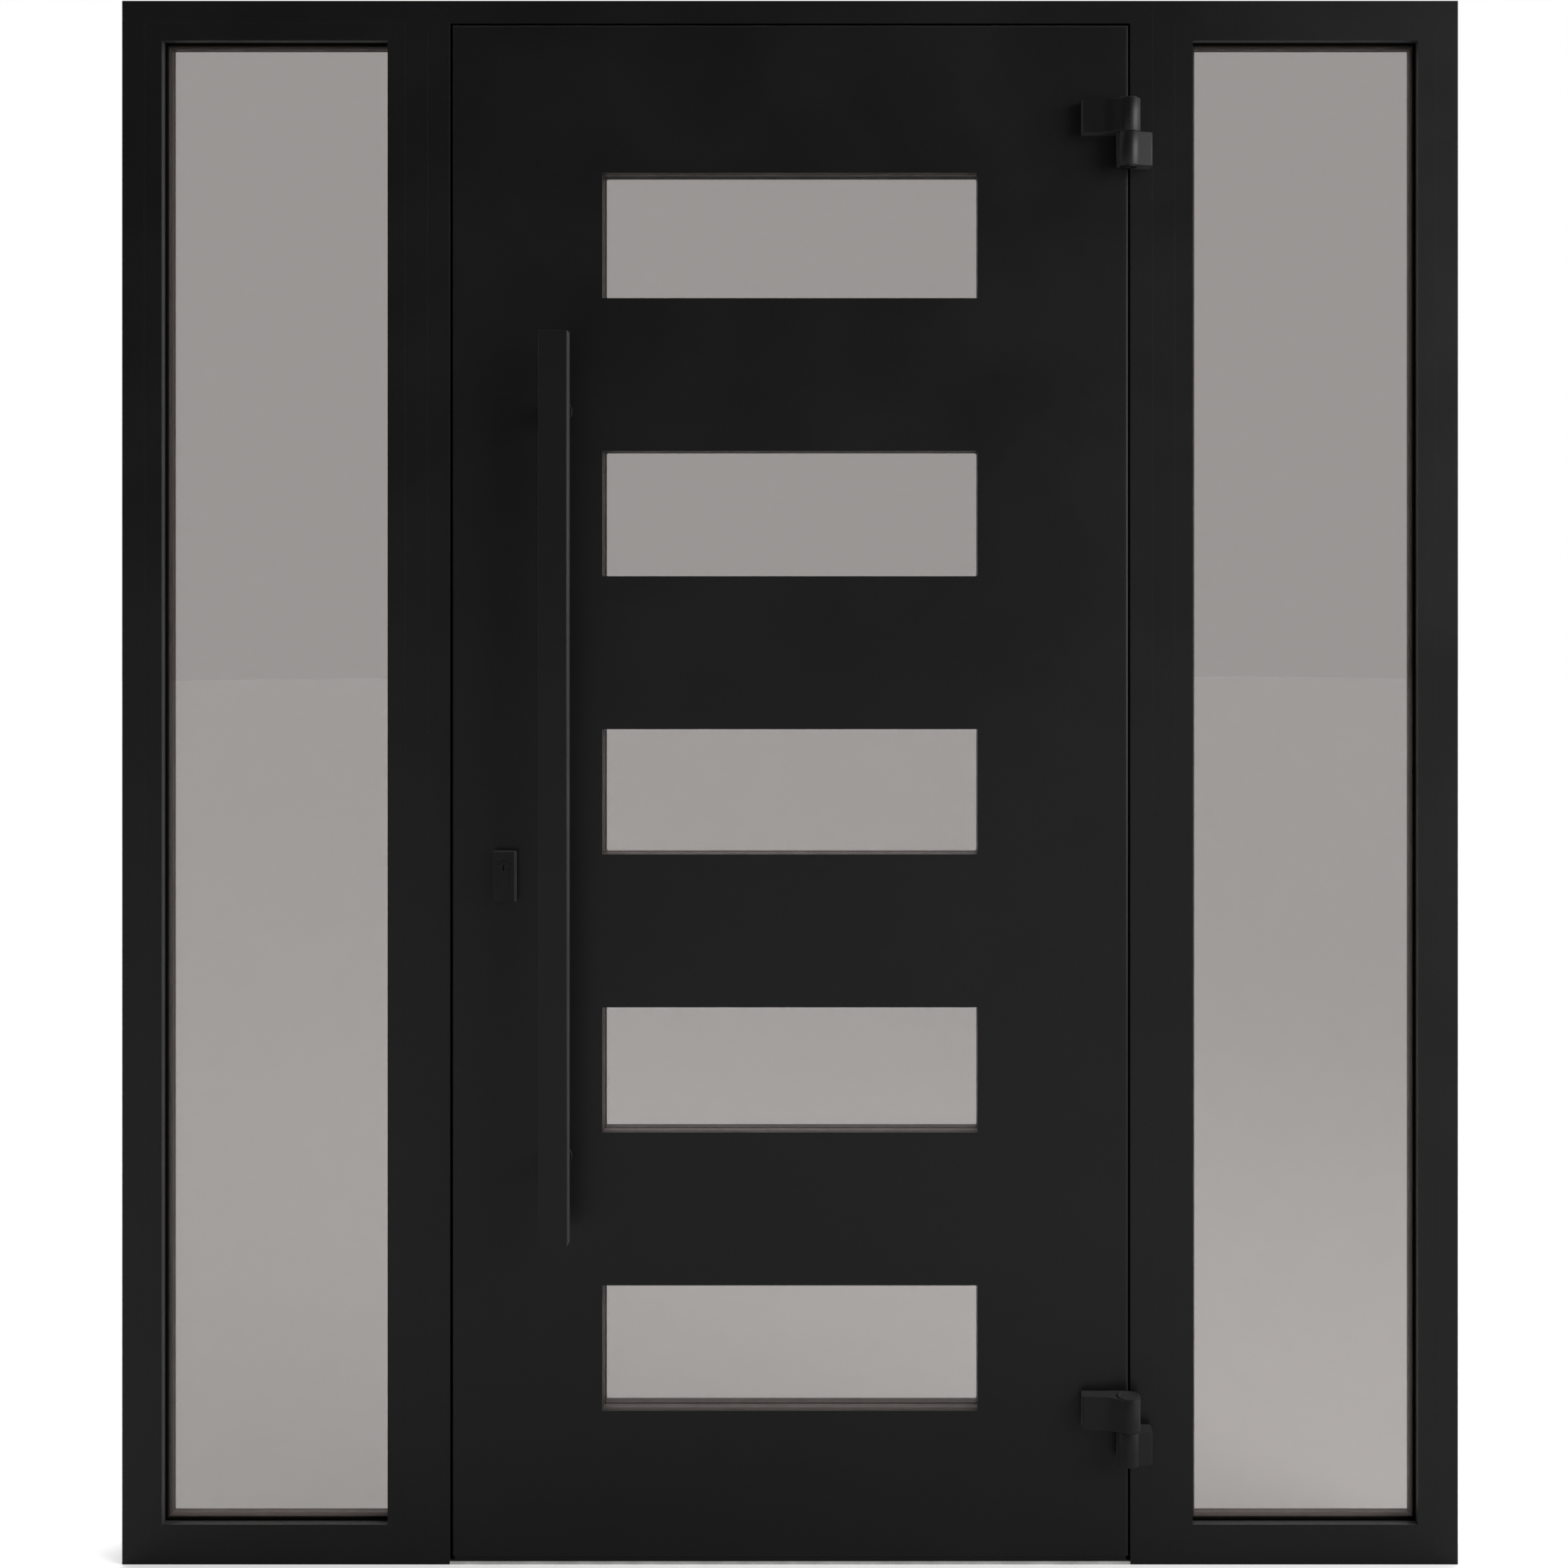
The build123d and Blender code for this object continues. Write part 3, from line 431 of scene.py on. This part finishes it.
MATERIALS = {
    "black_powder_coat": powder_coat("black_powder_coat"),
    "mill_aluminium": drawn_metal("mill_aluminium", MILL_METAL, roughness=0.36, stretch=ALONG_X),
    "clear_glass": clear_glass("clear_glass"),
    "black_rubber": moulded("black_rubber", RUBBER_BLACK, roughness=0.8, specular=0.02),
    "warm_grey_spacer": moulded(
        "warm_grey_spacer", SPACER_TAN, roughness=0.45, specular=0.4, top_light=PAINTED_TOP_LIGHT
    ),
    "brown_trim": moulded("brown_trim", TRIM_BROWN, roughness=0.6, specular=0.3, top_light=PAINTED_TOP_LIGHT),
    "foam_core": moulded(
        "foam_core", FOAM_CREAM, roughness=0.85, specular=0.3, grain_scale=FOAM_GRAIN
    ),
    "stainless_steel": drawn_metal("stainless_steel", STAINLESS, roughness=0.32, stretch=ALONG_Z),
    "blackened_steel": drawn_metal("blackened_steel", BLACKENED, roughness=0.42, stretch=EVEN),
}

# Which nodes keep sharp edges, and which get rounder ones
SHARP_SLOTS = ("clear_glass", "black_rubber", "warm_grey_spacer", "foam_core")
ROUNDED_NODES = ("leaf_face_sheet", "escutcheon")
FITTINGS = ("pull_bar", "lock", "inside", "lower_hinge", "upper_hinge", "strike")


def soften(piece, width, segments):
    """Small rounded edges that catch the light, by modifiers."""
    weld = piece.modifiers.new("weld", "WELD")
    weld.merge_threshold = WELD_REACH
    bevel = piece.modifiers.new("edges", "BEVEL")
    bevel.width = width
    bevel.segments = segments
    bevel.limit_method = "ANGLE"
    bevel.angle_limit = EDGE_ANGLE
    bevel.harden_normals = True


def dress_nodes():
    """Every CAD node gets its slot's material, and the hard ones softened edges."""
    for row in frame["record"]["subparts"]:
        name, slot = row["node"], row["material_slot"]
        piece = frame["nodes"][name]
        piece.data.materials.clear()
        piece.data.materials.append(MATERIALS[slot])
        if name in ROUNDED_NODES:
            soften(piece, ROUNDED_EDGE, segments=3)
        elif slot not in SHARP_SLOTS:
            width = FITTING_EDGE if name.startswith(FITTINGS) else PROFILE_EDGE
            soften(piece, width, segments=2)


# Mesh helpers


def mesh_of(name, bm):
    """A mesh from a bmesh, with its faces turned outwards."""
    bmesh.ops.recalc_face_normals(bm, faces=bm.faces)
    mesh = bpy.data.meshes.new(name)
    bm.to_mesh(mesh)
    bm.free()
    return mesh


def add_piece(name, bm, body, slot, replaced=()):
    """Makes a piece that rides on a body, takes a slot's finish and may replace nodes."""
    mesh = mesh_of(name, bm)
    mesh.materials.append(MATERIALS[slot])
    mesh.shade_smooth()
    mesh.set_sharp_from_angle(angle=SMOOTH_ANGLE)
    piece = bpy.data.objects.new(name, mesh)
    bpy.context.scene.collection.objects.link(piece)
    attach(piece, body)
    if replaced:
        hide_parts(*replaced)


def bridge(bm, loops):
    """Quads between loops of vertices, each joined to the next."""
    for first, second in zip(loops, loops[1:]):
        for step in range(len(first)):
            after = (step + 1) % len(first)
            bm.faces.new((first[step], first[after], second[after], second[step]))


def swept_ring(bm, section, box):
    """A mitred rectangular ring of one section.

    section holds (inset, y) points round the section, inset measured inwards from the box's
    outline, which is (x low, x high, z low, z high).
    """
    x_low, x_high, z_low, z_high = box
    corners = (
        (x_low, z_low, 1, 1), (x_high, z_low, -1, 1), (x_high, z_high, -1, -1), (x_low, z_high, 1, -1),
    )
    loops = []
    for x, z, inwards_x, inwards_z in corners:
        places = [(x + inwards_x * inset, y, z + inwards_z * inset) for inset, y in section]
        loops.append([bm.verts.new(place) for place in places])
    bridge(bm, loops + loops[:1])


def turned_piece(bm, place, direction, rings):
    """A turned piece about an axis, closed at its end, from (radius, height, hexagonal) rings."""
    turn = Vector((0, 0, 1)).rotation_difference(Vector(direction)).to_matrix().to_4x4()
    matrix = Matrix.Translation(place) @ turn
    loops = []
    for radius, height, hexagonal in rings:
        loop = []
        for step in range(TURNED_STEPS):
            angle = math.tau * step / TURNED_STEPS
            reach = radius
            if hexagonal:
                reach /= math.cos(angle % math.radians(60) - math.radians(30))
            point = Vector((reach * math.cos(angle), reach * math.sin(angle), height))
            loop.append(bm.verts.new(matrix @ point))
        loops.append(loop)
    bridge(bm, loops)
    bm.faces.new(loops[-1])


def socket_screw(bm, place, direction, radius):
    """A low screw head with a hexagonal socket, facing along a direction."""
    rings = [(radius * reach, radius * height, hexagonal) for reach, height, hexagonal in SCREW_RINGS]
    turned_piece(bm, place, direction, rings)


def middle(box):
    """The centre of a node's box."""
    return (Vector(box[0]) + Vector(box[1])) / 2


def in_plane(box):
    """A node box's limits along X and Z."""
    (x_low, _, z_low), (x_high, _, z_high) = box
    return x_low, x_high, z_low, z_high


def placed(points, y, z):
    """Points given in millimetres from a place (y, z), in metres."""
    return [(y + along * MM, z + up * MM) for along, up in points]


# Seals and spacers


def gasket_section(glass_y, seat_y):
    """A gasket between the glass and its seat, with a lip that leans out over the glass."""
    away = 1 if seat_y > glass_y else -1
    end = GASKET_HIDDEN + GASKET_SHOWN - GASKET_SLACK
    heel = [(GASKET_HEEL, glass_y), (GASKET_HEEL, seat_y)]
    shoulder = [(GASKET_HIDDEN + past * MM, seat_y + away * out * MM) for past, out in GASKET_SHOULDER]
    lip = [(end - short * MM, glass_y + away * out * MM) for short, out in GASKET_LIP]
    return heel + shoulder + lip


def spacer_section(band, front, back):
    """A spacer bar between two panes, with a slope at its front and a fine groove along its top."""
    slope = [(band - below * MM, front + behind * MM) for below, behind in SPACER_SLOPE]
    groove = [(band - below * MM, front + share * (back - front)) for below, share in SPACER_GROOVE]
    return [(0.0, front), *slope, *groove, (0.0, back)]


def sidelight_trim(side):
    """A sidelight's gaskets and spacer."""
    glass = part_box(f"{side}_sidelight_glass")
    gasket_box = in_plane(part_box(f"{side}_sidelight_gaskets"))
    front, back = glass[0][1], glass[1][1]
    bm = bmesh.new()
    swept_ring(bm, gasket_section(front, front - OUTER_GASKET), gasket_box)
    swept_ring(bm, gasket_section(back, back + INNER_GASKET), gasket_box)
    replaced = [f"{side}_sidelight_gaskets"]
    add_piece(f"{side}_glazing_gaskets", bm, "frame", "black_rubber", replaced)

    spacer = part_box(f"{side}_sidelight_spacer")
    band = gasket_box[0] - glass[0][0] + GASKET_HIDDEN + SPACER_SHOWN
    bm = bmesh.new()
    swept_ring(bm, spacer_section(band, spacer[0][1], spacer[1][1]), in_plane(spacer))
    replaced = [f"{side}_sidelight_spacer"]
    add_piece(f"{side}_spacer_bar", bm, "frame", "warm_grey_spacer", replaced)


def light_trim():
    """The spacers of the leaf's lights."""
    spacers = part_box("leaf_light_spacers")
    bm = bmesh.new()
    for number in range(1, LIGHT_COUNT + 1):
        box = in_plane(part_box(f"leaf_light_{number}"))
        swept_ring(bm, spacer_section(LIGHT_COVER, spacers[0][1], spacers[1][1]), box)
    add_piece("light_spacer_bars", bm, "leaf", "warm_grey_spacer", ["leaf_light_spacers"])


def seal_ring():
    """The bulb seal on the frame's stop."""
    (x_low, y_front, z_low), (x_high, y_back, z_high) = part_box("rebate_seal")
    foot, neck = y_back - SEAL_FOOT, y_back - SEAL_NECK
    section = [(0.0, y_back), (0.0, foot), (SEAL_FOOT, neck)]
    for step in range(BULB_STEPS + 1):
        angle = math.radians(BULB_START - BULB_SWEEP * step / BULB_STEPS)
        inset = BULB_MIDDLE + BULB_RADIUS * math.cos(angle)
        section.append((inset, y_front + BULB_RADIUS - BULB_RADIUS * math.sin(angle)))
    section += [(SEAL_WIDTH - SEAL_FOOT, neck), (SEAL_WIDTH, foot), (SEAL_WIDTH, y_back)]
    bm = bmesh.new()
    swept_ring(bm, section, (x_low, x_high, z_low, z_high))
    add_piece("bulb_seal", bm, "frame", "black_rubber", ["rebate_seal"])


def strip(name, loops_of_points, body, slot):
    """A strip through loops of points, closed at both its ends."""
    bm = bmesh.new()
    loops = [[bm.verts.new(point) for point in points] for points in loops_of_points]
    bridge(bm, loops)
    for loop in (loops[0], loops[-1]):
        bm.faces.new(loop)
    add_piece(name, bm, body, slot)


def strip_along_x(name, section, ends, body):
    """A straight black strip from (y, z) points round its section, between two places along X."""
    loops = [[(x, y, z) for y, z in section] for x in ends]
    strip(name, loops, body, "black_powder_coat")


def bottom_seals():
    """The lip seal under the leaf's front edge, and the ribbed insert of the threshold below it."""
    low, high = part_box("leaf_face_sheet")
    lip = placed(SWEEP_LIP, low[1], low[2])
    ends = (low[0] + SWEEP_MARGIN, high[0] - SWEEP_MARGIN)
    strip_along_x("leaf_sweep_seal", lip, ends, "leaf")

    outline = list(INSERT_NOSE)
    starts = [INSERT_START + INSERT_PITCH * rib for rib in range(INSERT_RIBS)]
    for start in starts:
        outline += [(start + along, up) for along, up in INSERT_RIB]
    outline += [(starts[-1] + along, up) for along, up in INSERT_TAIL]
    half = high[0] + LEAF_GAP - INSERT_MARGIN
    insert = placed(outline, low[1], low[2] - SILL_GAP)
    strip_along_x("threshold_insert", insert, (-half, half), "frame")


def arch(x_low, x_high, foot, top):
    """The corners (x, z, outwards along X, outwards along Z) up one side, over and down."""
    return (x_low, foot, -1, 0), (x_low, top, -1, 1), (x_high, top, 1, 1), (x_high, foot, 1, 0)


def shade_sheet_in_gap():
    """A thin black rubber sheet lining the doorway, which paints shade into the gap round the leaf."""
    low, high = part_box("leaf_face_sheet")
    start, end = low[1] + LINING_START, low[1] + LINING_END
    section = (
        (LINING_OFFSET, start), (LINING_THICKNESS, start + LINING_THICKNESS),
        (LINING_THICKNESS, end), (LINING_OFFSET, end),
    )
    half = high[0] + LEAF_GAP
    corners = arch(-half, half, low[2] - SILL_GAP, high[2] + LEAF_GAP)
    loops = [
        [(x - out_x * inset, y, z - out_z * inset) for inset, y in section]
        for x, z, out_x, out_z in corners
    ]
    strip("shade_sheet_in_gap", loops, "frame", "black_rubber")


def edge_section(reach, front):
    """The leaf's edge trim, as (outwards, y) points: a leg on the sheet, a rounding, a flank."""
    section = [(-EDGE_LEG, front + EDGE_ROUNDING), (-EDGE_LEG, front - EDGE_PROUD)]
    for step in range(EDGE_STEPS + 1):
        angle = math.radians(90 * step / EDGE_STEPS)
        out = (EDGE_SHOULDER + reach) * math.sin(angle) - EDGE_SHOULDER
        section.append((out, front + EDGE_ROUNDING * (1 - math.cos(angle))))
    return section + [(reach, front + EDGE_DEPTH), (-EDGE_BACK, front + EDGE_DEPTH)]


def leaf_edge_trim():
    """The leaf's rounded edge profile, which stands a little out into the gap round it."""
    low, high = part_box("leaf_face_sheet")
    loops = []
    for x, z, out_x, out_z in arch(low[0], high[0], low[2] + EDGE_FOOT, high[2]):
        reach = EDGE_LEFT if x == low[0] else EDGE_RIGHT
        points = []
        for out, y in edge_section(reach, low[1]):
            rise = out * EDGE_RIGHT / reach if out > 0 else out
            points.append((x + out_x * out, y, z + out_z * rise))
        loops.append(points)
    strip("leaf_edge_trim", loops, "leaf", "black_powder_coat")


# Small fittings


def hinge_caps():
    """Turned caps on the hinges, each a shallow dish with a raised rim."""
    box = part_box("hinge_caps")
    radius = (box[1][0] - box[0][0]) / 2
    centre = middle(box)
    rings = [(radius - inset * MM, height * MM, False) for inset, height in CAP_RINGS]
    rings.append((CAP_MIDDLE[0] * MM, CAP_MIDDLE[1] * MM, False))
    bm = bmesh.new()
    for name in ("lower", "upper"):
        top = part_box(f"{name}_hinge_leaf_wing")[1][2]
        turned_piece(bm, (centre.x, centre.y, top), (0, 0, 1), rings)
    add_piece("hinge_cap_discs", bm, "leaf", "black_powder_coat", ["hinge_caps"])


def pin_sockets():
    """The adjusting sockets under the hinge pins."""
    centre = middle(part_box("hinge_pins"))
    bm = bmesh.new()
    for name in ("lower", "upper"):
        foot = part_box(f"{name}_hinge_frame_wing")[0][2] - HINGE_CAP
        socket_screw(bm, (centre.x, centre.y, foot), (0, 0, -1), PIN_SOCKET_RADIUS)
    add_piece("hinge_pin_sockets", bm, "frame", "blackened_steel")


def plate_screws(name, node, body, slot, direction, face, end_margin):
    """Two screws on the middle line of an upright plate, each near one of its ends."""
    low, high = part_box(node)
    centre = middle((low, high))
    bm = bmesh.new()
    for z in (low[2] + end_margin, high[2] - end_margin):
        place = Vector((centre.x, centre.y, z))
        place["xyz".index(face[0])] = face[1]
        socket_screw(bm, place, direction, PLATE_SCREW_RADIUS)
    add_piece(name, bm, body, slot)


def screws():
    """Screws of the faceplate, the strike, the inside plate and the pull bar's posts."""
    face = ("x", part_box("mortise_lock")[0][0] + BOLT_PROUD)
    names = ("faceplate_screws", "mortise_lock", "leaf", "stainless_steel")
    plate_screws(*names, (-1, 0, 0), face, FACEPLATE_MARGIN)
    face = ("x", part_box("strike_plate")[1][0])
    names = ("strike_screws", "strike_plate", "frame", "stainless_steel")
    plate_screws(*names, (1, 0, 0), face, STRIKE_MARGIN)
    face = ("y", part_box("inside_plate")[1][1])
    names = ("inside_plate_screws", "inside_plate", "leaf", "blackened_steel")
    plate_screws(*names, (0, 1, 0), face, INSIDE_PLATE_MARGIN)

    bm = bmesh.new()
    low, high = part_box("pull_bar_posts")
    rose_radius = (high[0] - low[0]) / 2
    for z in (low[2] + rose_radius, high[2] - rose_radius):
        place = (middle((low, high)).x, low[1] + SET_SCREW_DEPTH, z - rose_radius + ROSE_STEP)
        socket_screw(bm, place, (0, 0, -1), SET_SCREW_RADIUS)
    add_piece("post_set_screws", bm, "leaf", "blackened_steel")


# Stage, light and camera


def floor():
    """A pale floor that turns to plain white where nothing shades it."""
    material, tree, shader = new_material("studio_floor")
    seen = add(tree, "ShaderNodeLightPath").outputs["Is Camera Ray"]
    tree.links.new(blend_colours(tree, seen, FLOOR_BOUNCE, FLOOR_COLOUR), shader.inputs["Base Color"])
    shader.inputs["Roughness"].default_value = FLOOR_ROUGHNESS
    shader.inputs["Specular IOR Level"].default_value = 0.0
    glow = add(tree, "ShaderNodeEmission")
    strength = combine(tree, "MULTIPLY", background_rays(tree, 0.0), FLOOR_GLOW)
    tree.links.new(strength, glow.inputs["Strength"])
    total = add(tree, "ShaderNodeAddShader")
    tree.links.new(shader.outputs["BSDF"], total.inputs[0])
    tree.links.new(glow.outputs["Emission"], total.inputs[1])
    tree.links.new(total.outputs["Shader"], find_node(tree, "OUTPUT_MATERIAL").inputs["Surface"])
    bm = bmesh.new()
    bmesh.ops.create_circle(bm, cap_ends=True, segments=FLOOR_STEPS, radius=FLOOR_RADIUS)
    mesh = mesh_of("studio_floor", bm)
    mesh.materials.append(material)
    piece = bpy.data.objects.new("studio_floor", mesh)
    bpy.context.scene.collection.objects.link(piece)


def room_light():
    """White for the camera and through glass; for the rest dim in front, a ceiling behind."""
    world = bpy.data.worlds.new("studio")
    bpy.context.scene.world = world
    world.use_nodes = True
    tree = world.node_tree
    background = find_node(tree, "BACKGROUND")
    background.inputs["Color"].default_value = (1.0, 1.0, 1.0, 1.0)
    direction = add(tree, "ShaderNodeTexCoord").outputs["Generated"]
    parts = add(tree, "ShaderNodeSeparateXYZ")
    tree.links.new(direction, parts.inputs["Vector"])
    beside = spread(tree, parts.outputs["Y"], 0.0, 1.0, *BESIDE_Y)
    walls = spread(tree, parts.outputs["X"], LEFT_LEVEL, RIGHT_LEVEL, *WALLS_X)
    behind = spread(tree, parts.outputs["Y"], 0.0, 1.0, *BEHIND_Y)
    inside = spread(tree, parts.outputs["Z"], INSIDE_LEVEL, CEILING_LEVEL, *CEILING_Z)
    change = combine(tree, "MULTIPLY", behind, combine(tree, "SUBTRACT", inside, walls))
    room = combine(tree, "ADD", walls, change)
    level = combine(tree, "MAXIMUM", combine(tree, "MULTIPLY", beside, room), FRONT_LEVEL)
    strength = combine(tree, "MAXIMUM", level, background_rays(tree, beside))
    tree.links.new(strength, background.inputs["Strength"])


def area_light(name, place, target, size, power):
    """A rectangular soft light aimed at a point, which neither the camera nor the glass shows."""
    lamp = bpy.data.lights.new(name, "AREA")
    lamp.shape = "RECTANGLE"
    lamp.size, lamp.size_y = size
    lamp.energy = power
    lamp.spread = LAMP_SPREAD
    holder = bpy.data.objects.new(name, lamp)
    holder.location = place
    direction = Vector(target) - Vector(place)
    holder.rotation_euler = direction.to_track_quat("-Z", "Y").to_euler()
    holder.visible_camera = False
    holder.visible_transmission = False
    bpy.context.scene.collection.objects.link(holder)


def photo_camera():
    """A camera square to the door, shifted as the photograph's framing needs."""
    lens = bpy.data.cameras.new("photo_camera")
    lens.sensor_width = SENSOR
    lens.sensor_fit = "HORIZONTAL"
    lens.lens = SENSOR * CAMERA_DISTANCE / PICTURE_WIDTH
    lens.shift_x = (PICTURE_MIDDLE[0] - CAMERA[0]) / PICTURE_WIDTH
    lens.shift_y = (PICTURE_MIDDLE[1] - CAMERA[1]) / PICTURE_WIDTH
    lens.clip_end = VIEW_REACH
    holder = bpy.data.objects.new("photo_camera", lens)
    holder.location = (CAMERA[0], FRONT_Y - CAMERA_DISTANCE, CAMERA[1])
    holder.rotation_euler = (math.radians(90), 0.0, 0.0)
    bpy.context.scene.collection.objects.link(holder)
    bpy.context.scene.camera = holder


dress_nodes()
for side in ("left", "right"):
    sidelight_trim(side)
light_trim()
seal_ring()
bottom_seals()
shade_sheet_in_gap()
leaf_edge_trim()
hinge_caps()
pin_sockets()
screws()
floor()
room_light()
area_light("key", KEY_PLACE, KEY_TARGET, KEY_SIZE, KEY_POWER)
photo_camera()
bpy.context.scene.view_settings.view_transform = "Standard"
